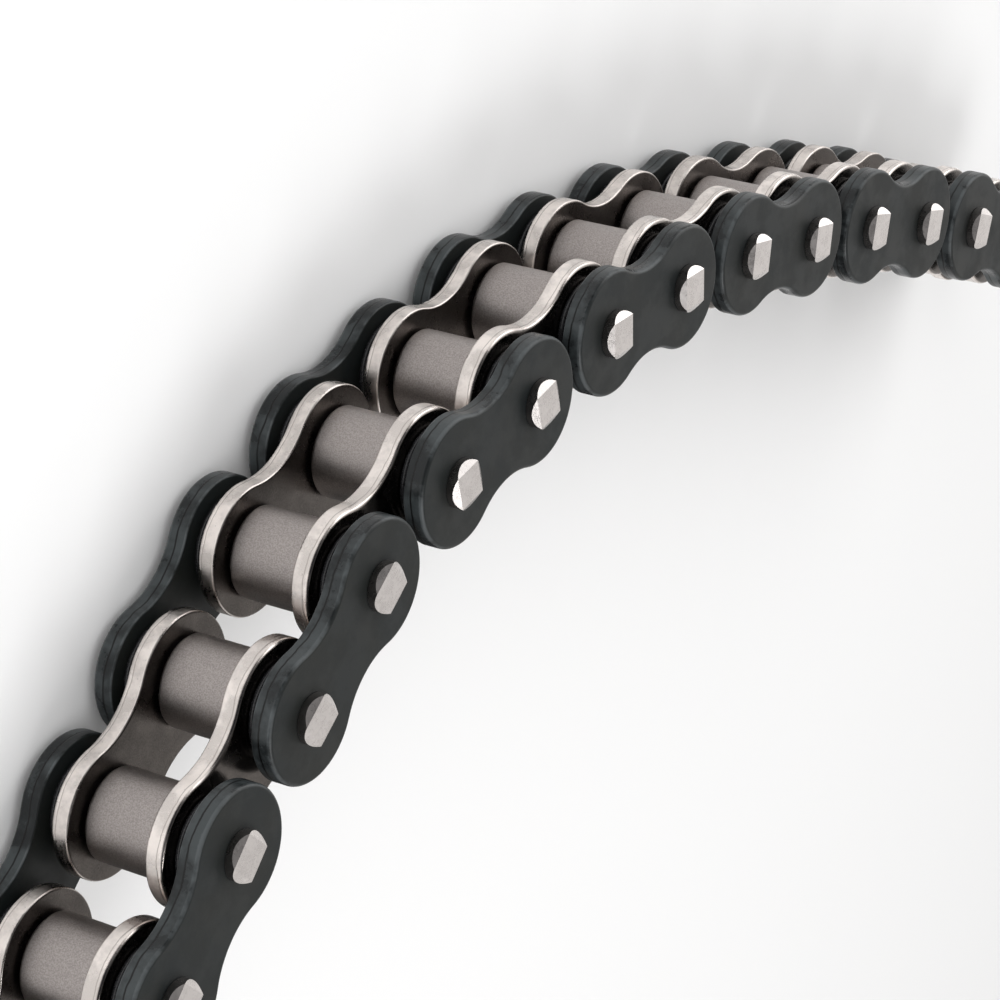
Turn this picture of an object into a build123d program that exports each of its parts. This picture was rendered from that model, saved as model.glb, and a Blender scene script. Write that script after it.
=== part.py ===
from build123d import *

import os
from math import atan, cos, radians, sin

# Sealed roller chain: a strand of fifteen links, laid on its side in the arch that it
# takes as it comes round a sprocket and runs off straight.
#
# Every pin is parallel to Z. The strand runs from its lower left end, up and over,
# to its right end, where the last link points along +X. Stations are the points
# where two links meet. There is one pin, one bush and one roller on each, and the
# bushes of the first and the last station stand empty for a connecting link.

# ---- driving dimensions, mm ----------------------------------------------------

PITCH = 15.875                # station to station
LINK_COUNT = 15               # odd, so both ends of the strand are inner links

INNER_WIDTH = 9.7             # between the inner plates
INNER_PLATE_T = 2.2
OUTER_PLATE_T = 2.4
SEAL_GAP = 1.7                # between an inner plate and the outer plate beside it

INNER_LOBE_R = 7.25           # round ends of the inner plates
INNER_WAIST = 5.2             # half height of the inner plates at mid link
OUTER_LOBE_R = 7.25
OUTER_WAIST = 5.2
ROLLED_EDGE = 0.5             # rounding on the face that the stamping die rolled over
SHEARED_EDGE = 0.25           # rounding on the other face

PIN_D = 5.3
PIN_PROUD = 1.25              # pin end above the outer plate
STAKE_DROP = 0.48             # fall of the four staked facets, at the middle of each
STAKE_FLARE = 0.08            # the end spreads this much past the shank, on radius

BUSH_WALL = 0.95
BUSH_PROUD = 1.2              # bush end above the inner plate, inside the seal
ROLLER_D = 10.16
ROLLER_EDGE = 0.4             # rounding on the roller's ends

SEAL_R = 5.5                  # outside radius of the seal ring
SEAL_LOBE_R = 0.36            # radius of each of the four lobes of its section

# ---- named clearances, mm ------------------------------------------------------

PIN_RUN = 0.05                # pin in bush, on radius
ROLLER_RUN = 0.06             # bush in roller, on radius
ROLLER_SIDE = 0.3             # roller end to inner plate
SEAL_BORE_RUN = 0.10          # seal round the bush, on radius
SEAL_FACE_RUN = 0.05          # seal to the outer plate

BREAK = 0.2                   # small chamfer on turned ends

# Turn of the strand at each station between two links, in degrees clockwise. The
# links don't sit evenly, so neighbouring joints differ by a few degrees.
REST_TURNS = [7, 8, 0, 15, 9, 3, 9, 5, 6, 2, 3, 4, 3, 2]

# ---- sizes that follow ---------------------------------------------------------

BUSH_BORE_R = PIN_D / 2 + PIN_RUN
BUSH_R = BUSH_BORE_R + BUSH_WALL
ROLLER_BORE_R = BUSH_R + ROLLER_RUN
PIN_LENGTH = INNER_WIDTH + 2 * (INNER_PLATE_T + SEAL_GAP + OUTER_PLATE_T + PIN_PROUD)
MID = PIN_LENGTH / 2          # height of the strand's middle plane

# Heights above the middle plane, from the inside out.
INNER_PLATE_IN = INNER_WIDTH / 2
INNER_PLATE_OUT = INNER_PLATE_IN + INNER_PLATE_T
OUTER_PLATE_IN = INNER_PLATE_OUT + SEAL_GAP
OUTER_PLATE_OUT = OUTER_PLATE_IN + OUTER_PLATE_T


def station_places():
    """Centres of the stations in the XY plane, with the box of the strand at the origin."""
    heading = sum(REST_TURNS)
    places = [(0.0, 0.0)]
    for link in range(LINK_COUNT):
        x, y = places[-1]
        places.append((x + PITCH * cos(radians(heading)), y + PITCH * sin(radians(heading))))
        if link < len(REST_TURNS):
            heading -= REST_TURNS[link]
    xs = [x for x, y in places]
    ys = [y for x, y in places]
    mid_x = (min(xs) + max(xs)) / 2
    mid_y = (min(ys) + max(ys)) / 2
    return [(x - mid_x, y - mid_y) for x, y in places]


STATIONS = station_places()


def link_plane(link):
    """Middle plane of one link: origin midway between its two stations, X along it."""
    x0, y0 = STATIONS[link]
    x1, y1 = STATIONS[link + 1]
    return Plane(
        origin=((x0 + x1) / 2, (y0 + y1) / 2, MID),
        x_dir=(x1 - x0, y1 - y0, 0),
        z_dir=(0, 0, 1),
    )


def station_plane(link, end):
    """Middle plane of one end of a link, with X along the link."""
    middle = link_plane(link)
    side = 1 if end else -1
    return Plane(
        origin=middle.from_local_coords((side * PITCH / 2, 0, 0)),
        x_dir=middle.x_dir,
        z_dir=(0, 0, 1),
    )


def make_plates(link, lobe_r, waist, hole_r, low, thickness):
    """The two plates of a link: waisted blanks with two holes and rounded edges."""
    half = PITCH / 2
    waist_r = (half**2 + waist**2 - lobe_r**2) / (2 * (lobe_r - waist))
    share = lobe_r / (lobe_r + waist_r)
    join_x = half * (1 - share)
    join_y = (waist + waist_r) * share
    middle = link_plane(link)
    solids = []
    for side in (1, -1):
        face = middle.offset(low) if side > 0 else middle.offset(-low - thickness)
        with BuildPart() as plate:
            with BuildSketch(face):
                with BuildLine():
                    ThreePointArc((-join_x, join_y), (0, waist), (join_x, join_y))
                    ThreePointArc((join_x, join_y), (half + lobe_r, 0), (join_x, -join_y))
                    ThreePointArc((join_x, -join_y), (0, -waist), (-join_x, -join_y))
                    ThreePointArc((-join_x, -join_y), (-half - lobe_r, 0), (-join_x, join_y))
                make_face()
            extrude(amount=thickness)
            ends = plate.faces().filter_by(Axis.Z).sort_by(Axis.Z)
            outer_rim = ends[-1 if side > 0 else 0].edges()
            inner_rim = ends[0 if side > 0 else -1].edges()
            fillet(outer_rim, radius=ROLLED_EDGE)
            fillet(inner_rim, radius=SHEARED_EDGE)
            with Locations(face.offset(thickness)):
                with GridLocations(PITCH, 0, 2, 1):
                    Hole(radius=hole_r, depth=2 * thickness)
        solids.append(plate.part)
    return solids


def make_pin(link, end):
    """A pin with staked ends: a square flat, whose corners reach the rim, and four facets round it."""
    middle = station_plane(link, end)
    shank_r = PIN_D / 2
    head_r = shank_r + STAKE_FLARE
    neck = OUTER_PLATE_OUT + STAKE_FLARE
    top = PIN_LENGTH / 2
    flat = head_r * cos(radians(45))
    tilt = atan(STAKE_DROP / (head_r - flat))
    profile = Plane(origin=middle.origin, x_dir=middle.x_dir, z_dir=-middle.y_dir)
    with BuildPart() as pin:
        with BuildSketch(profile):
            with BuildLine():
                Polyline(
                    (0, -top),
                    (head_r, -top),
                    (head_r, -neck),
                    (shank_r, -OUTER_PLATE_OUT),
                    (shank_r, OUTER_PLATE_OUT),
                    (head_r, neck),
                    (head_r, top),
                    (0, top),
                    close=True,
                )
            make_face()
        revolve(axis=Axis(middle.origin, (0, 0, 1)))
        for side in (1, -1):
            for angle in (0, 90, 180, 270):
                across = middle.x_dir * cos(radians(angle)) + middle.y_dir * sin(radians(angle))
                normal = across * sin(tilt) + Vector(0, 0, side * cos(tilt))
                brow = middle.origin + across * flat + Vector(0, 0, side * top)
                split(bisect_by=Plane(origin=brow, z_dir=normal), keep=Keep.BOTTOM)
    return pin.part


def make_bush(link, end):
    """A plain tube, pressed through both inner plates, with broken edges."""
    middle = station_plane(link, end)
    half = INNER_PLATE_OUT + BUSH_PROUD
    with BuildPart() as bush:
        with BuildSketch(middle.offset(-half)):
            Circle(BUSH_R)
            Circle(BUSH_BORE_R, mode=Mode.SUBTRACT)
        extrude(amount=2 * half)
        rims = bush.edges().filter_by(GeomType.CIRCLE).group_by(SortBy.RADIUS)[-1]
        chamfer(rims, length=BREAK)
    return bush.part


def make_roller(link, end):
    """A turned tube that spins on its bush, between the inner plates."""
    middle = station_plane(link, end)
    half = INNER_WIDTH / 2 - ROLLER_SIDE
    with BuildPart() as roller:
        with BuildSketch(middle.offset(-half)):
            Circle(ROLLER_D / 2)
            Circle(ROLLER_BORE_R, mode=Mode.SUBTRACT)
        extrude(amount=2 * half)
        rims = roller.edges().filter_by(GeomType.CIRCLE).group_by(SortBy.RADIUS)[-1]
        fillet(rims, radius=ROLLER_EDGE)
    return roller.part


def make_seal(link, end, side):
    """A ring of four-lobed section that sits round the bush's end and fills the seal gap."""
    middle = station_plane(link, end)
    bore_r = BUSH_R + SEAL_BORE_RUN
    width = SEAL_GAP - SEAL_FACE_RUN
    low = INNER_PLATE_OUT if side > 0 else -INNER_PLATE_OUT - width
    profile = Plane(origin=middle.origin, x_dir=middle.x_dir, z_dir=-middle.y_dir)
    inner_x = bore_r + SEAL_LOBE_R
    outer_x = SEAL_R - SEAL_LOBE_R
    low_y = low + SEAL_LOBE_R
    high_y = low + width - SEAL_LOBE_R
    with BuildPart() as seal:
        with BuildSketch(profile):
            with Locations(((inner_x + outer_x) / 2, (low_y + high_y) / 2)):
                Rectangle(outer_x - inner_x, high_y - low_y)
            with Locations((inner_x, low_y), (inner_x, high_y), (outer_x, low_y), (outer_x, high_y)):
                Circle(SEAL_LOBE_R)
        revolve(axis=Axis(middle.origin, (0, 0, 1)))
    return seal.part


def write_node(name, solids):
    """Write one node: a single piece, or a group of separate pieces."""
    node = solids[0] if len(solids) == 1 else Compound(children=solids)
    node.label = name
    export_step(node, f"parts/{name}.step")


def sealed_ends(link):
    """The ends of an inner link that a pin passes through."""
    return [end for end in (0, 1) if 0 < link + end < LINK_COUNT]


def write_inner_link(link):
    number = f"{link + 1:02d}"
    seals = [make_seal(link, end, side) for end in sealed_ends(link) for side in (1, -1)]
    plates = make_plates(link, INNER_LOBE_R, INNER_WAIST, BUSH_R, INNER_PLATE_IN, INNER_PLATE_T)
    write_node(f"inner_plates_{number}", plates)
    write_node(f"bushes_{number}", [make_bush(link, 0), make_bush(link, 1)])
    write_node(f"seals_{number}", seals)
    write_node(f"roller_{number}a", [make_roller(link, 0)])
    write_node(f"roller_{number}b", [make_roller(link, 1)])


def write_outer_link(link):
    number = f"{link + 1:02d}"
    plates = make_plates(link, OUTER_LOBE_R, OUTER_WAIST, PIN_D / 2, OUTER_PLATE_IN, OUTER_PLATE_T)
    write_node(f"outer_plates_{number}", plates)
    write_node(f"pins_{number}", [make_pin(link, 0), make_pin(link, 1)])


os.makedirs("parts", exist_ok=True)
for index in range(LINK_COUNT):
    if index % 2 == 0:
        write_inner_link(index)
    else:
        write_outer_link(index)
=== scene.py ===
from math import cos, radians, sin

import bpy
from mathutils import Matrix, Vector


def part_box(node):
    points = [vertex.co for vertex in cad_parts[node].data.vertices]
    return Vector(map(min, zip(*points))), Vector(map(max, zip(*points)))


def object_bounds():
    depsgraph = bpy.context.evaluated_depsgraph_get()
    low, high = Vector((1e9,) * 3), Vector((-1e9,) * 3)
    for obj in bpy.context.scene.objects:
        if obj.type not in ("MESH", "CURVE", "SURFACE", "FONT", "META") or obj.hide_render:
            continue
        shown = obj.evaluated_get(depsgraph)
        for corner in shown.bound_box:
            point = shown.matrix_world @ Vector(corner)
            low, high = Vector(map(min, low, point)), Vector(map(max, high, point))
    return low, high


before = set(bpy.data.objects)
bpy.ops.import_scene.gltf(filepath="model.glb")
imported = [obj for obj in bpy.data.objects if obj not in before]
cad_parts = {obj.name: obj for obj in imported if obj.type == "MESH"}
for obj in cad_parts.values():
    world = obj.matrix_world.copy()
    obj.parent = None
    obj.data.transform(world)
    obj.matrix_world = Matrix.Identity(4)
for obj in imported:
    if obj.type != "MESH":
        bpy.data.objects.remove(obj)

bl_info = {
    "name": "Sealed roller chain finishes",
    "version": (1, 0, 0),
    "blender": (4, 5, 0),
    "location": "View3D > Sidebar > Chain",
    "description": "Puts the finishes and the studio on a packed strand of sealed roller chain",
    "category": "Material",
}

CAD_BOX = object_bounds()
BOX_LOW = Vector(CAD_BOX[0])
BOX_HIGH = Vector(CAD_BOX[1])
BOX_MIDDLE = (BOX_LOW + BOX_HIGH) / 2

MM = 0.001

# Where blanking sheared a plate's rim and then broke it off, measured down from the plate's outer face.
OUTER_BREAK_DEPTH = 1.4 * MM
INNER_BREAK_DEPTH = 0.7 * MM

CRACK = (0.003, 0.003, 0.003)         # line of the break on a black rim
NICKEL_CRACK = (0.25, 0.22, 0.20)     # the same line under nickel
NICKEL_PIT = (0.10, 0.085, 0.075)
RUBBED_EDGE = (0.11, 0.12, 0.125)     # black oxide rubbed thin

# Softboxes: place from the middle of the strand, then width and height, in metres.
KEY_PLACE, KEY_SIZE = Vector((0.32, 0.50, 0.37)), (0.8, 0.5)
FILL_PLACE, FILL_SIZE = Vector((-0.10, -0.38, 0.56)), (0.3, 0.3)
FLOOR_PLACE, FLOOR_SIZE = Vector((-0.50, 0.10, 0.30)), (0.8, 0.8)

FLOOR_REACH = 3.0                     # half the floor's side
# Painted shade: inside the arch the floor is painted nearly black for reflections alone, a painted dark
# reflection in the rollers and plates.
ARCH_CENTRE = Vector((10.0, -75.0, 0.0)) * MM    # middle of the arch, from the middle of the strand
ARCH_RADII = (92 * MM, 107 * MM)      # the floor's reflection goes from dark to pale between these
ARCH_PAINTED_SHADE = (0.03, 0.03, 0.03)

HORIZON = (1.0, 0.985, 0.97)
OVERHEAD = (0.03, 0.03, 0.035)

CAMERA_AIM = Vector((-28.18, 10.85, 0.0)) * MM   # from the middle of the strand
SENSOR = 36.0                         # mm
CLIP = (0.01, 20.0)


def nodes_named(prefix):
    """CAD nodes whose names start with the prefix, in name order."""
    return [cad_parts[name] for name in sorted(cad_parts) if name.startswith(prefix)]


def outer_face(name):
    """Height of the outer faces of a link's plates above the strand's middle plane."""
    low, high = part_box(name)
    return (high[2] - low[2]) / 2


# ---- settings a user would change ----------------------------------------------


def colour(name, description, rgb):
    """A colour property with its default."""
    return bpy.props.FloatVectorProperty(
        name=name, description=description, default=rgb, size=3, min=0.0, max=1.0, subtype="COLOR"
    )


class ChainFinishSettings(bpy.types.PropertyGroup):
    """Colours and grain of the chain's finishes."""

    black_plate: colour("Outer plates", "Black oxide on the outer plates", (0.009, 0.0115, 0.012))
    black_rim: colour("Outer plate rims", "Sheared rim of the outer plates", (0.040, 0.046, 0.048))
    nickel: colour("Inner plates", "Nickel plating on the rims of the inner plates", (0.87, 0.805, 0.76))
    # Painted shade: the inner plates' faces get a far darker colour than their nickel rims, standing in
    # for the dark they reflect between the plates.
    nickel_face_painted_shade: colour("Inner plate faces", "Darker faces of the inner plates", (0.13, 0.115, 0.105))
    roller: colour("Rollers", "Tumbled steel of the rollers", (0.385, 0.35, 0.335))
    pin: colour("Pins", "Bright steel of the staked pin ends", (0.72, 0.68, 0.66))
    bush: colour("Bushes", "Ground steel of the bushes", (0.50, 0.48, 0.46))
    rubber: colour("Seals", "Rubber of the seal rings", (0.010, 0.010, 0.011))
    grain_size: bpy.props.FloatProperty(
        name="Roller grain", description="Size of the tumbled grain on the rollers",
        default=0.16 * MM, min=0.02 * MM, unit="LENGTH", precision=5,
    )
    wear: bpy.props.FloatProperty(
        name="Edge wear", description="How much the rounded edges are rubbed bright",
        default=0.35, min=0.0, max=1.0, subtype="FACTOR",
    )


class ChainStudioSettings(bpy.types.PropertyGroup):
    """Floor, lights and camera."""

    floor: colour("Floor", "Colour of the plain floor", (0.86, 0.86, 0.86))
    key_power: bpy.props.FloatProperty(
        name="Key power", description="Power of the large softbox",
        default=2.4, min=0.0, unit="POWER",
    )
    fill_power: bpy.props.FloatProperty(
        name="Fill power", description="Power of the small softbox",
        default=2.0, min=0.0, unit="POWER",
    )
    floor_power: bpy.props.FloatProperty(
        name="Floor power", description="Power of the softbox that softens the shadow on the floor",
        default=3.5, min=0.0, unit="POWER",
    )
    sky: bpy.props.FloatProperty(
        name="Surround", description="Brightness of the white surround", default=0.9, min=0.0
    )
    azimuth: bpy.props.FloatProperty(
        name="Azimuth", description="Direction that the camera looks in, from +X towards +Y",
        default=radians(-4.131), subtype="ANGLE",
    )
    elevation: bpy.props.FloatProperty(
        name="Elevation", description="Height of the camera above the floor, as an angle",
        default=radians(29.586), subtype="ANGLE",
    )
    roll: bpy.props.FloatProperty(
        name="Roll", description="Turn of the camera about its line of sight",
        default=radians(104.438), subtype="ANGLE",
    )
    distance: bpy.props.FloatProperty(
        name="Distance", description="Camera to the point it aims at",
        default=400.11 * MM, unit="LENGTH",
    )
    lens: bpy.props.FloatProperty(
        name="Lens", description="Focal length for a 36 mm sensor", default=127.45, min=10.0
    )


# ---- node trees ------------------------------------------------------------------


def new_node(tree, kind, **values):
    """A shader node with some of its properties set."""
    node = tree.nodes.new(kind)
    for name, value in values.items():
        setattr(node, name, value)
    return node


def plug(tree, source, target):
    """Links an output socket to an input socket."""
    tree.links.new(source, target)


def math_node(tree, operation, *inputs):
    """A Math node whose inputs are sockets or plain numbers; returns its output."""
    node = new_node(tree, "ShaderNodeMath", operation=operation)
    for index, value in enumerate(inputs):
        if isinstance(value, (int, float)):
            node.inputs[index].default_value = value
        else:
            plug(tree, value, node.inputs[index])
    return node.outputs[0]


def ramp_node(tree, source, low, high):
    """Maps low..high smoothly to 0..1."""
    node = new_node(tree, "ShaderNodeMapRange", interpolation_type="SMOOTHSTEP")
    plug(tree, source, node.inputs["Value"])
    node.inputs["From Min"].default_value = low
    node.inputs["From Max"].default_value = high
    return node.outputs["Result"]


def mix_colour(tree, factor, first, second):
    """Mixes two colours, each a socket or an (r, g, b)."""
    node = new_node(tree, "ShaderNodeMix", data_type="RGBA")
    for socket, value in ((node.inputs[0], factor), (node.inputs[6], first), (node.inputs[7], second)):
        if isinstance(value, (int, float)):
            socket.default_value = value
        elif isinstance(value, (tuple, list)):
            socket.default_value = (*value, 1.0)
        else:
            plug(tree, value, socket)
    return node.outputs[2]


def new_group(name, inputs, outputs):
    """A shader node group with named sockets; inputs are (name, socket type, default)."""
    tree = bpy.data.node_groups.new(name, "ShaderNodeTree")
    for label, kind, default in inputs:
        socket = tree.interface.new_socket(name=label, in_out="INPUT", socket_type=kind)
        socket.default_value = default
    for label, kind in outputs:
        tree.interface.new_socket(name=label, in_out="OUTPUT", socket_type=kind)
    return tree, tree.nodes.new("NodeGroupInput"), tree.nodes.new("NodeGroupOutput")


def make_grain_group():
    """Fine grain: an even scatter of pits and blotches, as height and as a mask."""
    tree, given, made = new_group(
        "Fine grain",
        [("Grain", "NodeSocketFloat", 6000.0), ("Blotch", "NodeSocketFloat", 500.0)],
        [("Height", "NodeSocketFloat"), ("Mask", "NodeSocketFloat")],
    )
    place = new_node(tree, "ShaderNodeTexCoord").outputs["Object"]
    fine = new_node(tree, "ShaderNodeTexNoise")
    fine.inputs["Detail"].default_value = 3.0
    fine.inputs["Roughness"].default_value = 0.65
    plug(tree, place, fine.inputs["Vector"])
    plug(tree, given.outputs["Grain"], fine.inputs["Scale"])
    broad = new_node(tree, "ShaderNodeTexNoise")
    broad.inputs["Detail"].default_value = 4.0
    plug(tree, place, broad.inputs["Vector"])
    plug(tree, given.outputs["Blotch"], broad.inputs["Scale"])
    plug(tree, fine.outputs["Fac"], made.inputs["Height"])
    half_broad = math_node(tree, "MULTIPLY", broad.outputs["Fac"], 0.5)
    plug(tree, math_node(tree, "MULTIPLY_ADD", fine.outputs["Fac"], 0.5, half_broad), made.inputs["Mask"])
    return tree


def make_rim_group():
    """Tells a plate's flat faces from its sheared rim, and finds the line where the shear broke."""
    tree, given, made = new_group(
        "Plate rim",
        [("Middle", "NodeSocketFloat", 0.0), ("Line", "NodeSocketFloat", 0.0),
         ("Width", "NodeSocketFloat", 0.0)],
        [("Rim", "NodeSocketFloat"), ("Edge", "NodeSocketFloat"), ("Broken", "NodeSocketFloat"),
         ("Crack", "NodeSocketFloat")],
    )
    surface = new_node(tree, "ShaderNodeTexCoord")
    split = new_node(tree, "ShaderNodeSeparateXYZ")
    plug(tree, surface.outputs["Normal"], split.inputs[0])
    along_pin = math_node(tree, "ABSOLUTE", split.outputs["Z"])
    flat = ramp_node(tree, along_pin, 0.55, 0.97)
    plug(tree, math_node(tree, "SUBTRACT", 1.0, flat), made.inputs["Rim"])
    above = ramp_node(tree, along_pin, 0.08, 0.35)
    below = math_node(tree, "SUBTRACT", 1.0, ramp_node(tree, along_pin, 0.85, 0.99))
    plug(tree, math_node(tree, "MULTIPLY", above, below), made.inputs["Edge"])
    place = new_node(tree, "ShaderNodeSeparateXYZ")
    plug(tree, surface.outputs["Object"], place.inputs[0])
    wobble = new_node(tree, "ShaderNodeTexNoise")
    wobble.inputs["Scale"].default_value = 260.0
    wobble.inputs["Detail"].default_value = 3.0
    plug(tree, surface.outputs["Object"], wobble.inputs["Vector"])
    rise = math_node(tree, "SUBTRACT", place.outputs["Z"], given.outputs["Middle"])
    height = math_node(tree, "ABSOLUTE", rise)
    centred = math_node(tree, "SUBTRACT", wobble.outputs["Fac"], 0.5)
    shake = math_node(tree, "MULTIPLY", centred, 0.7 * MM)
    past = math_node(tree, "SUBTRACT", math_node(tree, "ADD", height, shake), given.outputs["Line"])
    plug(tree, math_node(tree, "LESS_THAN", past, 0.0), made.inputs["Broken"])
    away = math_node(tree, "DIVIDE", math_node(tree, "ABSOLUTE", past), given.outputs["Width"])
    plug(tree, math_node(tree, "SUBTRACT", 1.0, ramp_node(tree, away, 0.2, 1.0)), made.inputs["Crack"])
    return tree


def make_shear_group():
    """Marks that blanking leaves on a rim: patches, and fine scores that run across the plate."""
    tree, given, made = new_group(
        "Sheared rim",
        [("Patch", "NodeSocketFloat", 450.0), ("Score", "NodeSocketFloat", 2200.0)],
        [("Patches", "NodeSocketFloat"), ("Height", "NodeSocketFloat")],
    )
    place = new_node(tree, "ShaderNodeTexCoord").outputs["Object"]
    squeeze = new_node(tree, "ShaderNodeVectorMath", operation="MULTIPLY")
    squeeze.inputs[1].default_value = (1.0, 1.0, 0.22)
    plug(tree, place, squeeze.inputs[0])
    patch = new_node(tree, "ShaderNodeTexNoise")
    patch.inputs["Detail"].default_value = 4.0
    patch.inputs["Roughness"].default_value = 0.6
    plug(tree, place, patch.inputs["Vector"])
    plug(tree, given.outputs["Patch"], patch.inputs["Scale"])
    score = new_node(tree, "ShaderNodeTexNoise")
    score.inputs["Detail"].default_value = 2.0
    plug(tree, squeeze.outputs["Vector"], score.inputs["Vector"])
    plug(tree, given.outputs["Score"], score.inputs["Scale"])
    plug(tree, ramp_node(tree, patch.outputs["Fac"], 0.38, 0.64), made.inputs["Patches"])
    plug(tree, score.outputs["Fac"], made.inputs["Height"])
    return tree


def use_group(tree, name, **values):
    """Places a node group in a material; returns the node."""
    node = new_node(tree, "ShaderNodeGroup", node_tree=bpy.data.node_groups[name])
    for label, value in values.items():
        node.inputs[label].default_value = value
    return node


def new_material(name, metallic):
    """A material with a Principled shader; returns the material, its tree and the shader."""
    material = bpy.data.materials.new(name)
    material.use_nodes = True
    tree = material.node_tree
    shader = tree.nodes["Principled BSDF"]
    shader.inputs["Metallic"].default_value = metallic
    return material, tree, shader


def add_bump(tree, shader, height, strength, depth):
    """Bump from a height socket; depth in metres."""
    bump = new_node(tree, "ShaderNodeBump")
    bump.inputs["Strength"].default_value = strength
    bump.inputs["Distance"].default_value = depth
    plug(tree, height, bump.inputs["Height"])
    plug(tree, bump.outputs["Normal"], shader.inputs["Normal"])


def vary_roughness(tree, shader, grain, least, spread):
    """Roughness that follows the grain, from least up to least + spread."""
    rough = math_node(tree, "MULTIPLY_ADD", grain.outputs["Mask"], spread, least)
    plug(tree, rough, shader.inputs["Roughness"])


def ensure_groups():
    """Makes the shared node groups once."""
    for name, maker in (
        ("Fine grain", make_grain_group),
        ("Plate rim", make_rim_group),
        ("Sheared rim", make_shear_group),
    ):
        if name not in bpy.data.node_groups:
            maker()


def rim_height(tree, rim, shear, grain, score, crack):
    """Height for a plate's bump: grain all over, scores and the line of the break on the rim alone."""
    ripple = math_node(tree, "MULTIPLY", shear.outputs["Height"], rim.outputs["Rim"])
    height = math_node(tree, "MULTIPLY_ADD", ripple, score, grain.outputs["Height"])
    dent = math_node(tree, "MULTIPLY", rim.outputs["Rim"], crack)
    return math_node(tree, "MULTIPLY_ADD", rim.outputs["Crack"], dent, height)


def black_plate_material(finish):
    """Black oxide: satin charcoal faces, glossier mottled rims, edges rubbed lighter."""
    material, tree, shader = new_material("black_oxide_plate", 0.0)
    shader.inputs["Specular IOR Level"].default_value = 0.26
    line = outer_face("outer_plates_02") - OUTER_BREAK_DEPTH
    rim = use_group(tree, "Plate rim", Middle=BOX_MIDDLE.z, Line=line, Width=0.16 * MM)
    shear = use_group(tree, "Sheared rim", Patch=240.0, Score=2600.0)
    grain = use_group(tree, "Fine grain", Grain=7000.0, Blotch=160.0)
    warm = (1.35 * finish.black_plate[0], 1.15 * finish.black_plate[1], 1.0 * finish.black_plate[2])
    clouds = ramp_node(tree, grain.outputs["Mask"], 0.38, 0.62)
    face = mix_colour(tree, clouds, tuple(finish.black_plate), warm)
    dark = tuple(0.25 * c for c in finish.black_rim)
    sheared = mix_colour(tree, shear.outputs["Patches"], dark, tuple(finish.black_rim))
    lined = mix_colour(tree, rim.outputs["Crack"], sheared, CRACK)
    base = mix_colour(tree, rim.outputs["Rim"], face, lined)
    rubbed = math_node(tree, "MULTIPLY", shear.outputs["Patches"], finish.wear)
    worn = math_node(tree, "MULTIPLY", rim.outputs["Edge"], rubbed)
    plug(tree, mix_colour(tree, worn, base, RUBBED_EDGE), shader.inputs["Base Color"])
    rough = math_node(tree, "MULTIPLY_ADD", rim.outputs["Rim"], -0.20, 0.44)
    torn = math_node(tree, "MULTIPLY", rim.outputs["Rim"], 0.10)
    broken = math_node(tree, "MULTIPLY_ADD", rim.outputs["Broken"], torn, rough)
    patchy = math_node(tree, "MULTIPLY_ADD", shear.outputs["Patches"], 0.12, broken)
    plug(tree, patchy, shader.inputs["Roughness"])
    add_bump(tree, shader, rim_height(tree, rim, shear, grain, 3.0, -3.0), 0.4, 0.012 * MM)
    return material


def nickel_plate_material(finish):
    """Bright nickel over blanked steel: mirror rims with a slight ripple, and faces darkened with painted
    shade.
    """
    material, tree, shader = new_material("nickel_plate", 1.0)
    line = outer_face("inner_plates_01") - INNER_BREAK_DEPTH
    rim = use_group(tree, "Plate rim", Middle=BOX_MIDDLE.z, Line=line, Width=0.10 * MM)
    shear = use_group(tree, "Sheared rim", Patch=300.0, Score=1300.0)
    grain = use_group(tree, "Fine grain", Grain=5000.0, Blotch=260.0)
    dull = tuple(0.70 * c for c in finish.nickel)
    bright = mix_colour(tree, shear.outputs["Patches"], dull, tuple(finish.nickel))
    speck = ramp_node(tree, grain.outputs["Height"], 0.66, 0.74)
    specked = mix_colour(tree, math_node(tree, "MULTIPLY", speck, 0.6), bright, NICKEL_PIT)
    crack = math_node(tree, "MULTIPLY", rim.outputs["Crack"], 0.55)
    lined = mix_colour(tree, crack, specked, NICKEL_CRACK)
    # Painted shade: the faces are given a dark colour, with a random cloudy tone within it, in place of
    # the dark they reflect between the plates.
    dark = tuple(0.6 * c for c in finish.nickel_face_painted_shade)
    clouds = ramp_node(tree, grain.outputs["Mask"], 0.35, 0.65)
    face = mix_colour(tree, clouds, dark, tuple(finish.nickel_face_painted_shade))
    plug(tree, mix_colour(tree, rim.outputs["Rim"], face, lined), shader.inputs["Base Color"])
    rough = math_node(tree, "MULTIPLY_ADD", shear.outputs["Patches"], 0.12, 0.18)
    broken = math_node(tree, "MULTIPLY_ADD", rim.outputs["Broken"], 0.08, rough)
    plug(tree, broken, shader.inputs["Roughness"])
    add_bump(tree, shader, rim_height(tree, rim, shear, grain, 2.5, -1.5), 0.3, 0.02 * MM)
    return material


def roller_material(finish):
    """Tumbled steel: warm grey, matt, with a fine even grain."""
    material, tree, shader = new_material("tumbled_roller_steel", 1.0)
    grain = use_group(tree, "Fine grain", Grain=1.0 / finish.grain_size, Blotch=900.0)
    dark = tuple(0.78 * c for c in finish.roller)
    light = tuple(1.12 * c for c in finish.roller)
    base = mix_colour(tree, ramp_node(tree, grain.outputs["Height"], 0.36, 0.64), dark, light)
    plug(tree, base, shader.inputs["Base Color"])
    vary_roughness(tree, shader, grain, 0.34, 0.2)
    add_bump(tree, shader, grain.outputs["Height"], 0.6, 0.03 * MM)
    return material


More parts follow.
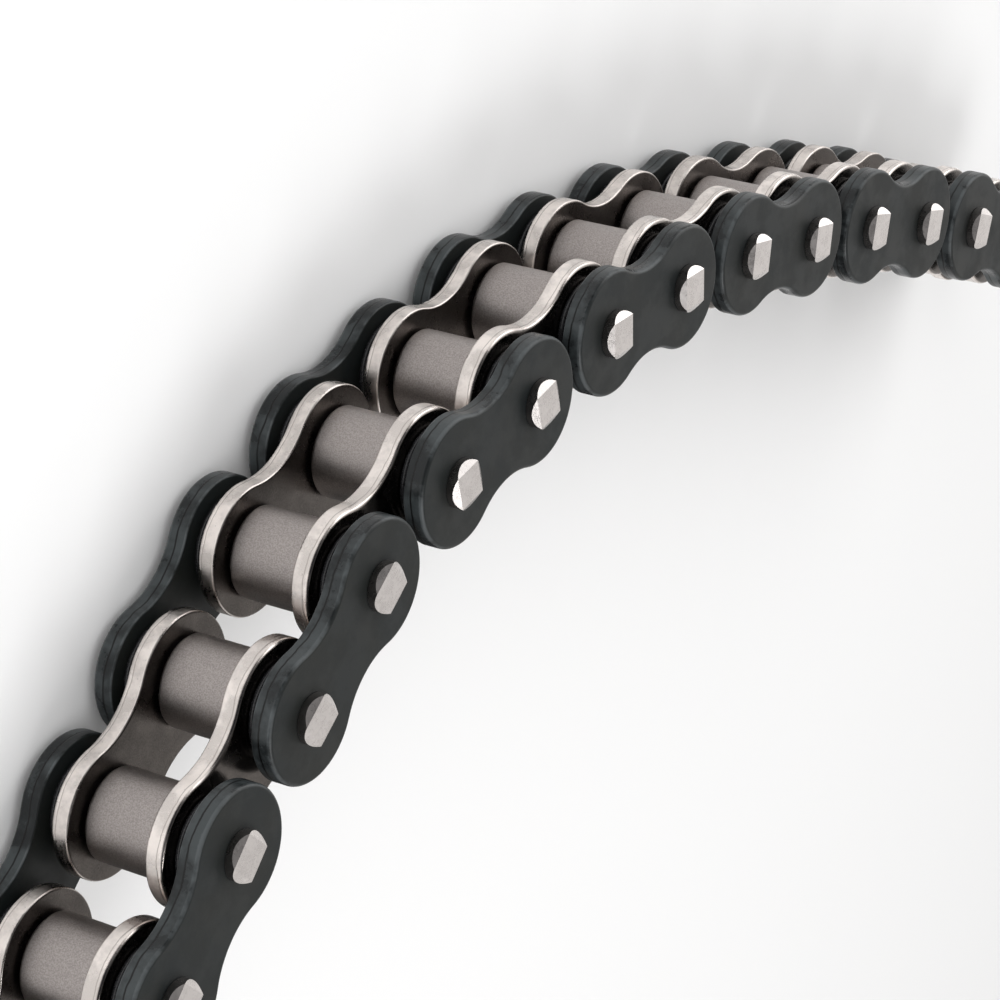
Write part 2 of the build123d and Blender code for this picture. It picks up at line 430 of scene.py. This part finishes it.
def pin_material(finish):
    """Pins: bright ends, lightly smeared by the punch, and walls darkened with painted shade."""
    material, tree, shader = new_material("staked_pin_steel", 1.0)
    grain = use_group(tree, "Fine grain", Grain=2500.0, Blotch=600.0)
    rim = use_group(tree, "Plate rim", Middle=BOX_MIDDLE.z)
    dull = tuple(0.85 * c for c in finish.pin)
    smear = ramp_node(tree, grain.outputs["Mask"], 0.4, 0.6)
    facet = mix_colour(tree, smear, dull, tuple(finish.pin))
    # Painted shade: the side walls of the pin ends are darkened in colour, standing in for the dark plate
    # they reflect.
    painted_shade_wall = tuple(0.35 * c for c in finish.pin)
    plug(tree, mix_colour(tree, rim.outputs["Rim"], facet, painted_shade_wall), shader.inputs["Base Color"])
    vary_roughness(tree, shader, grain, 0.14, 0.3)
    add_bump(tree, shader, grain.outputs["Height"], 0.3, 0.01 * MM)
    return material


def bush_material(finish):
    """Ground steel tube, a little darker than the pins."""
    material, tree, shader = new_material("ground_bush_steel", 1.0)
    grain = use_group(tree, "Fine grain", Grain=4000.0, Blotch=500.0)
    dull = tuple(0.8 * c for c in finish.bush)
    clouds = ramp_node(tree, grain.outputs["Mask"], 0.4, 0.6)
    base = mix_colour(tree, clouds, dull, tuple(finish.bush))
    plug(tree, base, shader.inputs["Base Color"])
    vary_roughness(tree, shader, grain, 0.18, 0.3)
    add_bump(tree, shader, grain.outputs["Height"], 0.3, 0.008 * MM)
    return material


def rubber_material(finish):
    """Black rubber, wet with grease."""
    material, tree, shader = new_material("greased_seal_rubber", 0.0)
    grain = use_group(tree, "Fine grain", Grain=3500.0, Blotch=700.0)
    lit = tuple(2.0 * c for c in finish.rubber)
    wet = ramp_node(tree, grain.outputs["Mask"], 0.4, 0.6)
    base = mix_colour(tree, wet, tuple(finish.rubber), lit)
    plug(tree, base, shader.inputs["Base Color"])
    vary_roughness(tree, shader, grain, 0.1, 0.3)
    add_bump(tree, shader, grain.outputs["Height"], 0.2, 0.01 * MM)
    return material


def paint(objects, material):
    """Puts one material in every slot of the objects."""
    if not objects:
        raise RuntimeError(f"no nodes to paint with {material.name}")
    for thing in objects:
        if not thing.material_slots:
            thing.data.materials.append(material)
        for place in thing.material_slots:
            place.material = material


# ---- operators --------------------------------------------------------------------


class CHAIN_OT_outer_plates(bpy.types.Operator):
    """Finish the outer plates in black oxide"""

    bl_idname = "chain.outer_plates"
    bl_label = "Outer plates"

    def execute(self, context):
        ensure_groups()
        paint(nodes_named("outer_plates"), black_plate_material(context.scene.chain_finish))
        return {"FINISHED"}


class CHAIN_OT_inner_plates(bpy.types.Operator):
    """Finish the inner plates in bright nickel"""

    bl_idname = "chain.inner_plates"
    bl_label = "Inner plates"

    def execute(self, context):
        ensure_groups()
        paint(nodes_named("inner_plates"), nickel_plate_material(context.scene.chain_finish))
        return {"FINISHED"}


class CHAIN_OT_rollers(bpy.types.Operator):
    """Finish the rollers in tumbled steel"""

    bl_idname = "chain.rollers"
    bl_label = "Rollers"

    def execute(self, context):
        ensure_groups()
        paint(nodes_named("roller"), roller_material(context.scene.chain_finish))
        return {"FINISHED"}


class CHAIN_OT_pins(bpy.types.Operator):
    """Finish the pins and their staked ends in bright steel"""

    bl_idname = "chain.pins"
    bl_label = "Pins"

    def execute(self, context):
        ensure_groups()
        paint(nodes_named("pins"), pin_material(context.scene.chain_finish))
        return {"FINISHED"}


class CHAIN_OT_bushes(bpy.types.Operator):
    """Finish the bushes in ground steel"""

    bl_idname = "chain.bushes"
    bl_label = "Bushes"

    def execute(self, context):
        ensure_groups()
        paint(nodes_named("bushes"), bush_material(context.scene.chain_finish))
        return {"FINISHED"}


class CHAIN_OT_seals(bpy.types.Operator):
    """Finish the seal rings in greased rubber"""

    bl_idname = "chain.seals"
    bl_label = "Seals"

    def execute(self, context):
        ensure_groups()
        paint(nodes_named("seals"), rubber_material(context.scene.chain_finish))
        return {"FINISHED"}


def aim(thing, place, target, roll=0.0):
    """Puts a camera or light at a place, looking at a target, turned by roll about that line."""
    sight = (target - place).normalized()
    turn = sight.to_track_quat("-Z", "Y").to_matrix().to_4x4()
    thing.matrix_world = Matrix.Translation(place) @ turn @ Matrix.Rotation(roll, 4, "Z")


def add_softbox(name, place, size, power, in_reflections=True):
    """A rectangular area light, aimed at the middle of the strand."""
    data = bpy.data.lights.new(name, "AREA")
    data.shape = "RECTANGLE"
    data.size, data.size_y = size
    data.energy = power
    thing = bpy.data.objects.new(name, data)
    thing.visible_glossy = in_reflections
    bpy.context.scene.collection.objects.link(thing)
    aim(thing, BOX_MIDDLE + place, BOX_MIDDLE)


def make_floor(floor_colour):
    """A large plain floor under the strand, evenly pale to the camera. Reflections see painted shade
    inside the arch: a nearly black patch that darkens what the rollers and plates reflect.
    """
    mesh = bpy.data.meshes.new("floor")
    signs = ((-1, -1), (1, -1), (1, 1), (-1, 1))
    corners = [(x * FLOOR_REACH, y * FLOOR_REACH, BOX_LOW.z) for x, y in signs]
    mesh.from_pydata(corners, [], [(0, 1, 2, 3)])
    floor = bpy.data.objects.new("floor", mesh)
    bpy.context.scene.collection.objects.link(floor)
    material, tree, shader = new_material("pale_floor", 0.0)
    shader.inputs["Roughness"].default_value = 0.9
    hub = new_node(tree, "ShaderNodeVectorMath", operation="DISTANCE")
    plug(tree, new_node(tree, "ShaderNodeTexCoord").outputs["Object"], hub.inputs[0])
    hub.inputs[1].default_value = (*(BOX_MIDDLE + ARCH_CENTRE).xy, BOX_LOW.z)
    outside = ramp_node(tree, hub.outputs["Value"], *ARCH_RADII)
    # Painted shade: glossy rays alone see the floor nearly black inside the arch.
    painted_dark_reflection = mix_colour(tree, outside, ARCH_PAINTED_SHADE, floor_colour)
    seen = new_node(tree, "ShaderNodeLightPath").outputs["Is Glossy Ray"]
    plug(tree, mix_colour(tree, seen, floor_colour, painted_dark_reflection), shader.inputs["Base Color"])
    mesh.materials.append(material)


def make_surround(strength):
    """A white surround, bright round the horizon and dark overhead on the camera's side."""
    world = bpy.data.worlds.new("studio_surround")
    bpy.context.scene.world = world
    world.use_nodes = True
    tree = world.node_tree
    direction = new_node(tree, "ShaderNodeTexCoord").outputs["Generated"]
    split = new_node(tree, "ShaderNodeSeparateXYZ")
    plug(tree, direction, split.inputs[0])
    overhead = ramp_node(tree, split.outputs["Z"], 0.45, 0.85)
    behind = math_node(tree, "SUBTRACT", 1.0, ramp_node(tree, split.outputs["X"], -0.35, 0.1))
    raised = math_node(tree, "MULTIPLY", behind, ramp_node(tree, split.outputs["Z"], 0.1, 0.45))
    dark = math_node(tree, "MAXIMUM", math_node(tree, "MULTIPLY", overhead, 0.8), raised)
    plug(tree, mix_colour(tree, dark, HORIZON, OVERHEAD), tree.nodes["Background"].inputs["Color"])
    tree.nodes["Background"].inputs["Strength"].default_value = strength


def make_camera(studio):
    """The camera, at its distance from the point it aims at."""
    data = bpy.data.cameras.new("camera")
    data.sensor_width = SENSOR
    data.lens = studio.lens
    data.clip_start, data.clip_end = CLIP
    camera = bpy.data.objects.new("camera", data)
    bpy.context.scene.collection.objects.link(camera)
    target = BOX_MIDDLE + CAMERA_AIM
    sight = Vector((
        cos(studio.elevation) * cos(studio.azimuth),
        cos(studio.elevation) * sin(studio.azimuth),
        -sin(studio.elevation),
    ))
    aim(camera, target - sight * studio.distance, target, studio.roll)
    bpy.context.scene.camera = camera


class CHAIN_OT_stage(bpy.types.Operator):
    """Set the floor, the surround, the softboxes and the camera"""

    bl_idname = "chain.stage"
    bl_label = "Studio"

    def execute(self, context):
        studio = context.scene.chain_studio
        make_floor(tuple(studio.floor))
        make_surround(studio.sky)
        add_softbox("key_softbox", KEY_PLACE, KEY_SIZE, studio.key_power)
        add_softbox("fill_softbox", FILL_PLACE, FILL_SIZE, studio.fill_power)
        add_softbox("floor_softbox", FLOOR_PLACE, FLOOR_SIZE, studio.floor_power, in_reflections=False)
        make_camera(studio)
        context.scene.view_settings.view_transform = "Standard"
        return {"FINISHED"}


class CHAIN_PT_panel(bpy.types.Panel):
    """Lists the chain's finishes and the studio"""

    bl_label = "Roller chain"
    bl_idname = "CHAIN_PT_panel"
    bl_space_type = "VIEW_3D"
    bl_region_type = "UI"
    bl_category = "Chain"

    def draw(self, context):
        finish = context.scene.chain_finish
        studio = context.scene.chain_studio
        for settings in (finish, studio):
            column = self.layout.column()
            for name in settings.__annotations__:
                column.prop(settings, name)
        for operator in OPERATORS:
            self.layout.operator(operator.bl_idname)


OPERATORS = (
    CHAIN_OT_outer_plates,
    CHAIN_OT_inner_plates,
    CHAIN_OT_rollers,
    CHAIN_OT_pins,
    CHAIN_OT_bushes,
    CHAIN_OT_seals,
    CHAIN_OT_stage,
)
CLASSES = (ChainFinishSettings, ChainStudioSettings, *OPERATORS, CHAIN_PT_panel)


def register():
    for cls in CLASSES:
        bpy.utils.register_class(cls)
    bpy.types.Scene.chain_finish = bpy.props.PointerProperty(type=ChainFinishSettings)
    bpy.types.Scene.chain_studio = bpy.props.PointerProperty(type=ChainStudioSettings)


def unregister():
    del bpy.types.Scene.chain_studio
    del bpy.types.Scene.chain_finish
    for cls in reversed(CLASSES):
        bpy.utils.unregister_class(cls)


def main():
    register()
    bpy.ops.chain.outer_plates()
    bpy.ops.chain.inner_plates()
    bpy.ops.chain.rollers()
    bpy.ops.chain.pins()
    bpy.ops.chain.bushes()
    bpy.ops.chain.seals()
    bpy.ops.chain.stage()


if __name__ == "__main__":
    main()
